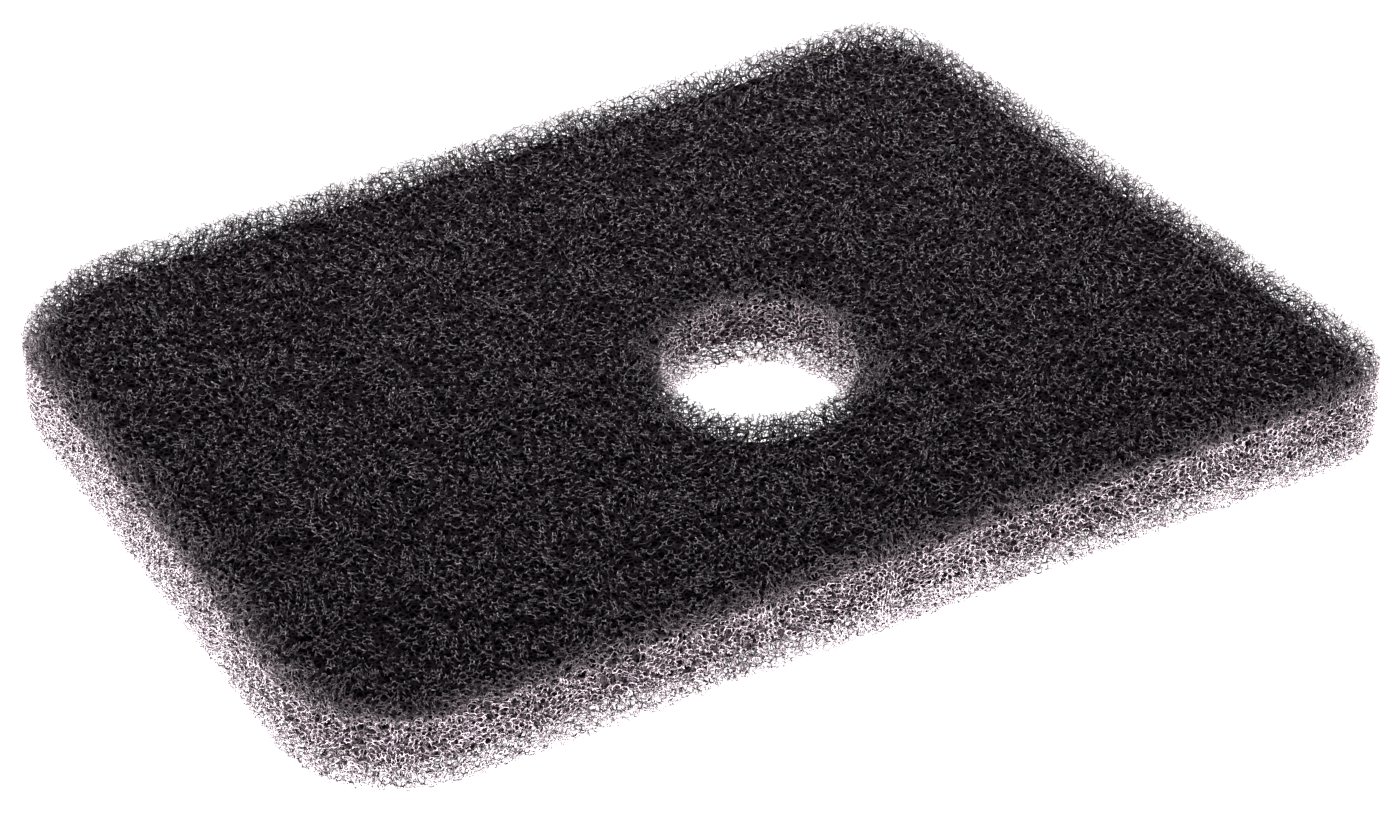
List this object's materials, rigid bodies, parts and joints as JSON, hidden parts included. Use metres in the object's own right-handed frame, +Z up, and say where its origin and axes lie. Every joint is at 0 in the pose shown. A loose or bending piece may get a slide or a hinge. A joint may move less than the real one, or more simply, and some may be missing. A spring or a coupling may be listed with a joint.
{
  "type": "foam filter pad",
  "caption": "Flat reticulated foam filter pad with a rounded right-trapezoid outline and one round through hole off its centre.",
  "frame": {"origin": "centre of the bounding rectangle of the pad, on its underside", "axes": "+X along the long front edge, away from the square end; +Y from the front edge to the shorter back edge; +Z up through the sheet's thickness"},
  "size_m": [0.1432, 0.1, 0.01],
  "materials": {
    "foam": "matte open-cell foam"
  },
  "bodies": {
    "root": {"foam_pad": "foam"}
  },
  "joints": []
}
